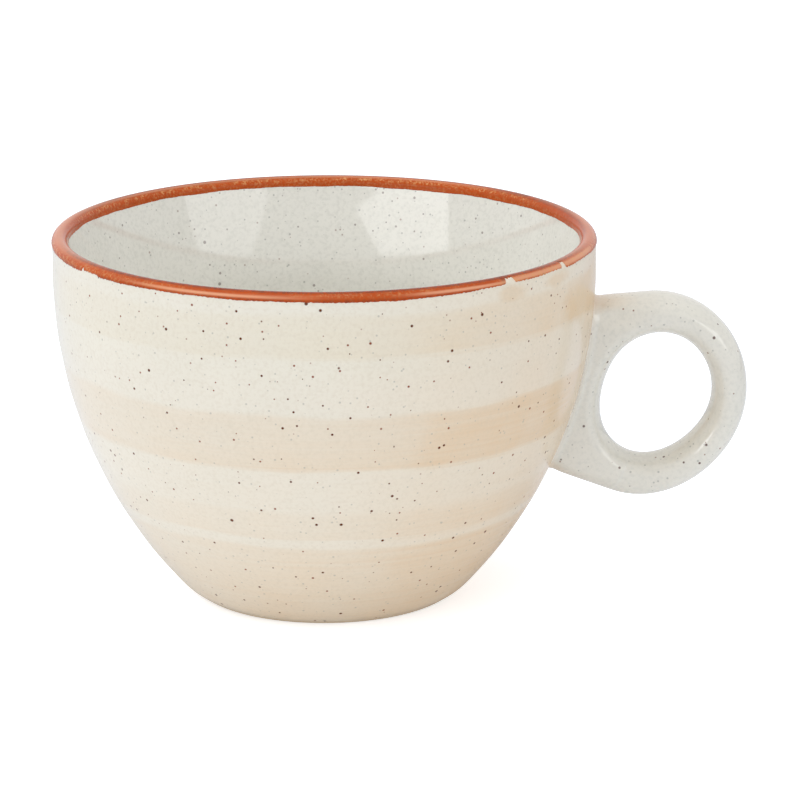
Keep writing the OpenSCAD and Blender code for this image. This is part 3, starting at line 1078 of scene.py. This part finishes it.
def zinc_white(name, base, cloud_colour, share, peel, roughness, ior):
    """Grey white gloss glaze: slow clouds, a fine mottle, fine grey specks, few dark ones."""
    material, tree, shader, place = new_finish(name, roughness, ior)
    cloud = add(tree, "TexNoise", Vector=place, Scale=1 / ZINC_CLOUD_SIZE, Detail=4.0)["Fac"]
    colour = add(tree, "Mix", MIX, in0=cloud, in6=linear(base), in7=linear(cloud_colour))[2]
    colour = mottled(tree, place, colour, ZINC_MOTTLE, size=0.8, most=0.35)
    colour = with_specks(tree, place, colour, ZINC_SPECKS, share)
    tree.links.new(colour, shader.inputs["Base Color"])
    orange_peel(tree, shader, place, size=2.6, strength=peel)
    return material, tree, shader, place, colour


liner_finish = zinc_white(
    "zinc_white_liner_glaze", "#eeede6", "#e6e5dd", share=0.6, peel=0.10, roughness=0.06, ior=1.6
)[0]
wear(liner, liner_finish)
wear(base_pool, liner_finish)

# %% Handle glaze
PEACH_BREATH = "#dfbd95"
BREATH_SIZE = 4
# The wash that ran into the seam with the bowl, by the distance from the wall in mm
SEAM = {"From_Min": 0.1, "From_Max": 0.9, "To_Min": 0.1, "To_Max": 0.0}


def handle_finish():
    """The liner's glaze, smoother and more mirroring, with a breath of peach where the brush
    ran against the handle."""
    material, tree, shader, place, colour = zinc_white(
        "zinc_white_handle_glaze",
        "#e4e1d7",
        "#dddacf",
        share=0.9,
        peel=0.03,
        roughness=0.03,
        ior=1.75,
    )
    off = add(tree, "Attribute", {"attribute_name": "off_wall"})["Fac"]
    seam = add(tree, "MapRange", Value=off, **SEAM)["Result"]
    edge = add(tree, "Attribute", {"attribute_name": "rim_wash"})["Fac"]
    blotch = add(tree, "TexNoise", Vector=place, Scale=1 / BREATH_SIZE, Detail=3.0)["Fac"]
    edge = add(tree, "Math", TIMES, in0=edge, in1=blotch)["Value"]
    wash = add(tree, "Math", PLUS_CAPPED, in0=seam, in1=edge)["Value"]
    colour = add(tree, "Mix", MIX, in0=wash, in6=colour, in7=linear(PEACH_BREATH))[2]
    tree.links.new(colour, shader.inputs["Base Color"])
    return material


wear(ring_handle, handle_finish())

# %% [markdown]
# ## Finishes: rust glaze
# The lip carries an iron glaze, opaque and glossy. It is dark along the crest and breaks to tan
# beside it in flecks, and a few dark specks show in it. Its pale tan streaks are partly thin
# glaze and partly painted highlight, where the lamps would mirror on the round of the lip.


# %% Rust glaze
RUST, RUST_CLOUD = "#cd5614", "#b0440e"
# The pale tan serves both thin glaze and painted highlight streaks
RUST_DARK, RUST_THIN_AND_HIGHLIGHT, RUST_FLECK, RUST_SPECK = "#742812", "#e8a884", "#dda068", "#5a2014"
# Sizes in mm of the grain, of the clumps that the flecks stand in, and of the slow clouds
GRAIN_SIZE, CLUMP_SIZE, RUST_CLOUD_SIZE = 0.45, 1.3, 7
# What the noises become: the roughness of the dark crest, the clumps, and the flecks
DARK_GRAIN = {"From_Min": 0.38, "From_Max": 0.62, "To_Min": 0.25, "To_Max": 1.0}
CLUMPS = {"From_Min": 0.42, "From_Max": 0.58, "To_Min": 0.35, "To_Max": 1.0}
FLECKS = {"From_Min": 0.42, "From_Max": 0.62}


def iron_rust():
    """Orange brown, dark on the crest, tan flecks, and pale streaks of thin glaze and painted
    highlight.
    """
    material, tree, shader, place = new_finish("iron_rust_glaze", roughness=0.18)
    grain = add(tree, "TexNoise", Vector=place, Scale=1 / GRAIN_SIZE, Detail=3.0)["Fac"]
    cloud = add(tree, "TexNoise", Vector=place, Scale=1 / RUST_CLOUD_SIZE, Detail=3.0)["Fac"]
    colour = add(tree, "Mix", MIX, in0=cloud, in6=linear(RUST), in7=linear(RUST_CLOUD))[2]
    rough = add(tree, "MapRange", Value=grain, **DARK_GRAIN)["Result"]
    dark = add(tree, "Attribute", {"attribute_name": "dark"})["Fac"]
    dark = add(tree, "Math", TIMES_CAPPED, in0=dark, in1=rough)["Value"]
    colour = add(tree, "Mix", MIX, in0=dark, in6=colour, in7=linear(RUST_DARK))[2]
    # Pale tan streaks: thin glaze and painted highlight on the round of the lip
    thin_and_highlight = add(tree, "Attribute", {"attribute_name": "thin_and_highlight"})["Fac"]
    colour = add(tree, "Mix", MIX, in0=thin_and_highlight, in6=colour, in7=linear(RUST_THIN_AND_HIGHLIGHT))[2]
    clump = add(tree, "TexNoise", Vector=place, Scale=1 / CLUMP_SIZE, Detail=1.0)["Fac"]
    clump = add(tree, "MapRange", Value=clump, **CLUMPS)["Result"]
    flecks = add(tree, "MapRange", Value=grain, **FLECKS)["Result"]
    flecks = add(tree, "Math", TIMES, in0=flecks, in1=clump)["Value"]
    flecked = add(tree, "Attribute", {"attribute_name": "flecked"})["Fac"]
    flecked = add(tree, "Math", TIMES, in0=flecked, in1=flecks)["Value"]
    colour = add(tree, "Mix", MIX, in0=flecked, in6=colour, in7=linear(RUST_FLECK))[2]
    spot = specks(tree, place, apart=5.0, radius=0.2, seed=23.0)
    colour = add(tree, "Mix", MIX, in0=spot, in6=colour, in7=linear(RUST_SPECK))[2]
    tree.links.new(colour, shader.inputs["Base Color"])
    bump = add(tree, "Bump", Height=grain, Strength=0.18, Distance=0.03 * MM)["Normal"]
    tree.links.new(bump, shader.inputs["Normal"])
    # The iron dulls the gloss: 0.5 is the mirroring of a clear glaze, and this a third of it
    shader.inputs["Specular IOR Level"].default_value = 0.16
    return material


wear(rust_rim, iron_rust())

# %% [markdown]
# ## Finishes: bare clay and slip
# Stoneware clay fires to a warm grey, dry and matte, with grog in it. Slip is the same clay
# let down with water, finer and smoother. The slip and the clay wall under the glaze are
# frame pieces whose shape is right, so they only get their finish.


# %% Bare clay and slip
CLAY_SPECK = "#7a5038"


def fired_clay(name, base, grain_colour, grain, roughness):
    """Matte clay: grog grains of the given size in mm, and a bump from the same grains."""
    material, tree, shader, place = new_finish(name, roughness)
    grog = add(tree, "TexVoronoi", {"feature": "F1"}, Vector=place, Scale=1 / grain)["Distance"]
    dust = add(tree, "TexNoise", Vector=place, Scale=1 / (4 * grain), Detail=5.0)["Fac"]
    mixed = add(tree, "Math", TIMES, in0=grog, in1=dust)["Value"]
    colour = add(tree, "Mix", MIX, in0=mixed, in6=linear(base), in7=linear(grain_colour))[2]
    spot = specks(tree, place, apart=2.2, radius=0.2, seed=31.0)
    colour = add(tree, "Mix", MIX, in0=spot, in6=colour, in7=linear(CLAY_SPECK))[2]
    tree.links.new(colour, shader.inputs["Base Color"])
    bump = add(tree, "Bump", Height=grog, Strength=0.35, Distance=0.12 * MM)["Normal"]
    tree.links.new(bump, shader.inputs["Normal"])
    return material


bisque = fired_clay("unglazed_stoneware", "#d3c3aa", "#b59c7c", grain=0.45, roughness=0.85)
slip = fired_clay("luting_slip_clay", "#cdbfa6", "#b8a686", grain=0.25, roughness=0.8)
wear(foot, bisque)
wear(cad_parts["bowl"], bisque)
wear(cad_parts["luting_slip"], slip)

# %% [markdown]
# ## Stage and light
# The cup stands on a white table in a white room. Two soft boxes stand in front, one on each
# side, and they show as two pale patches on the back of the inside. The room's own light is
# plain and even. Camera and mirror rays see a room that is pure white. The table glows
# softly, as a lit table top does, so that the underside of the cup isn't dark.

# %% White floor and white room
FLOOR_HALF = 1600
TABLE_PAINT, WHITE = "#eef2f9", "#ffffff"
# The table's glow on the cup, and what camera rays see on top of it, so that it shows white
TABLE_GLOW, TABLE_SHOWN = 0.25, 0.31
ROOM_LIGHT = 0.515
GREATER = {"operation": "MAXIMUM"}


def stage_material(name):
    """A material that starts without any node."""
    material = bpy.data.materials.new(name)
    material.use_nodes = True
    material.node_tree.nodes.clear()
    return material, material.node_tree


def white_table():
    """A flat sheet under the foot. It is open from below, so the foot can be seen."""
    corners = FLOOR_HALF * np.array([(-1, -1, 0), (1, -1, 0), (1, 1, 0), (-1, 1, 0)])
    table = mesh_piece("table", corners, np.array([[0, 1, 2, 3]]))
    material, tree = stage_material("white_table")
    path = add(tree, "LightPath")
    paint = add(tree, "BsdfDiffuse", Color=linear(TABLE_PAINT))["BSDF"]
    # Mirror rays see only the lit paint, without the glow
    glossy, shown = path["Is Glossy Ray"], path["Is Camera Ray"]
    level = add(tree, "MapRange", Value=glossy, To_Min=TABLE_GLOW, To_Max=0.0)["Result"]
    level = add(tree, "Math", TIMES_PLUS, in0=shown, in1=TABLE_SHOWN, in2=level)["Value"]
    glow = add(tree, "Emission", Color=linear(WHITE), Strength=level)["Emission"]
    both = add(tree, "AddShader", in0=paint, in1=glow)["Shader"]
    clear = add(tree, "BsdfTransparent")["BSDF"]
    back = add(tree, "NewGeometry")["Backfacing"]
    final = add(tree, "MixShader", in0=back, in1=both, in2=clear)["Shader"]
    add(tree, "OutputMaterial", Surface=final)
    wear(table, material)


def white_room():
    """White for camera and mirror rays, and a plain level of light for everything else."""
    world = bpy.data.worlds.new("white_room")
    bpy.context.scene.world = world
    world.use_nodes = True
    tree = world.node_tree
    path = add(tree, "LightPath")
    seen = add(tree, "Math", GREATER, in0=path["Is Camera Ray"], in1=path["Is Glossy Ray"])
    seen = add(tree, "Math", GREATER, in0=seen["Value"], in1=path["Is Transmission Ray"])
    level = add(tree, "MapRange", Value=seen["Value"], To_Min=ROOM_LIGHT, To_Max=1.0)["Result"]
    shown = tree.nodes["Background"]
    shown.inputs["Color"].default_value = linear(WHITE)
    tree.links.new(level, shown.inputs["Strength"])
    print(f"the room lights the cup at {ROOM_LIGHT} of white")


white_table()
white_room()


# %% Soft boxes
def toward(azimuth, elevation):
    """Unit direction: azimuth from straight in front (minus Y) towards plus X, in degrees."""
    a, e = math.radians(azimuth), math.radians(elevation)
    return Vector((math.sin(a) * math.cos(e), -math.cos(a) * math.cos(e), math.sin(e)))

BOX_AWAY = 1000


def soft_box(name, seen_from, corners, radiance):
    """A flat sheet of light. Its corners lie in the given directions (azimuth, elevation) as
    seen from one place: corner = place + direction * away / (direction . facing)."""
    ways = [toward(*corner) for corner in corners]
    facing = sum(ways, Vector()).normalized()
    points = [Vector(seen_from) + way * (BOX_AWAY / way.dot(facing)) for way in ways]
    box = mesh_piece(name, np.array(points), np.array([np.arange(len(corners))]))
    material, tree = stage_material(name)
    glow = add(tree, "Emission", Color=linear(WHITE), Strength=radiance)["Emission"]
    add(tree, "OutputMaterial", Surface=glow)
    wear(box, material)
    box.visible_camera = False


# Corner directions in degrees, as seen from the place on the inside wall that mirrors the box
RIGHT_BOX = (
    (38.4, 9.9),
    (63.6, 8.3),
    (64.8, 9.2),
    (65.8, 9.8),
    (67.5, 11.2),
    (68.8, 14.0),
    (69.0, 23.0),
    (27.5, 23.0),
    (28.7, 17.9),
    (32.5, 14.1),
    (35.5, 11.9),
)
LEFT_BOX = (
    (-62.0, 8.3),
    (-27.6, 10.4),
    (-25.9, 11.1),
    (-20.1, 13.7),
    (-14.5, 16.8),
    (-22.9, 18.0),
    (-36.0, 23.0),
    (-59.0, 24.0),
    (-59.0, 15.0),
    (-60.7, 11.5),
)
soft_box("right_box", seen_from=(-20, 43, 57), corners=RIGHT_BOX, radiance=2.35)
soft_box("left_box", seen_from=(17, 44, 57), corners=LEFT_BOX, radiance=3.15)


# %% Lamps that fill the shadows
def square_lamp(name, azimuth, elevation, distance, width, radiance):
    """A square lamp that faces the cup. Its power is pi * area * radiance."""
    lamp = bpy.data.lights.new(name, "AREA")
    lamp.size = width * MM
    lamp.energy = math.pi * lamp.size**2 * radiance
    holder = bpy.data.objects.new(name, lamp)
    holder.location = Vector((0, 0, CUP_H / 2 * MM)) + toward(azimuth, elevation) * distance * MM
    holder.rotation_euler = toward(azimuth, elevation).to_track_quat("Z", "Y").to_euler()
    # It only fills the shadows: the photograph's gloss shows no such lamp
    holder.visible_camera = holder.visible_glossy = False
    bpy.context.scene.collection.objects.link(holder)
    print(f"{name}: {lamp.energy:.2f} W at {azimuth} degrees")


square_lamp("top_lamp", azimuth=0, elevation=85, distance=900, width=800, radiance=1.7)
square_lamp("left_lamp", azimuth=-98, elevation=38, distance=1000, width=700, radiance=1.25)

# %% [markdown]
# ## Camera
# A long lens, a little above the rim, looking square across the handle. Its distance and tilt
# were found from the ellipses of the rim and the foot.

# %% Camera
AIM = Vector((15.25, 0, 39.4)) * MM
CAMERA_ELEVATION = 15.21
CAMERA_DISTANCE = 800 * MM
SENSOR_W = 36
LENS = 176.3

camera = bpy.data.cameras.new("camera")
camera.sensor_width = SENSOR_W
camera.lens = LENS
camera.clip_start = 10 * MM
viewer = bpy.data.objects.new("viewer", camera)
viewer.location = AIM + toward(0, CAMERA_ELEVATION) * CAMERA_DISTANCE
viewer.rotation_euler = toward(0, CAMERA_ELEVATION).to_track_quat("Z", "Y").to_euler()
bpy.context.scene.collection.objects.link(viewer)
bpy.context.scene.camera = viewer
bpy.context.scene.view_settings.view_transform = "Standard"
print(f"camera {CAMERA_DISTANCE:.1f} m away and {CAMERA_ELEVATION} degrees up, {LENS} mm lens")

# %% [markdown]
# ## Finish
# The view layer is brought up to date, so that every piece stands where it was set.

# %% Bring the scene up to date
bpy.context.view_layer.update()
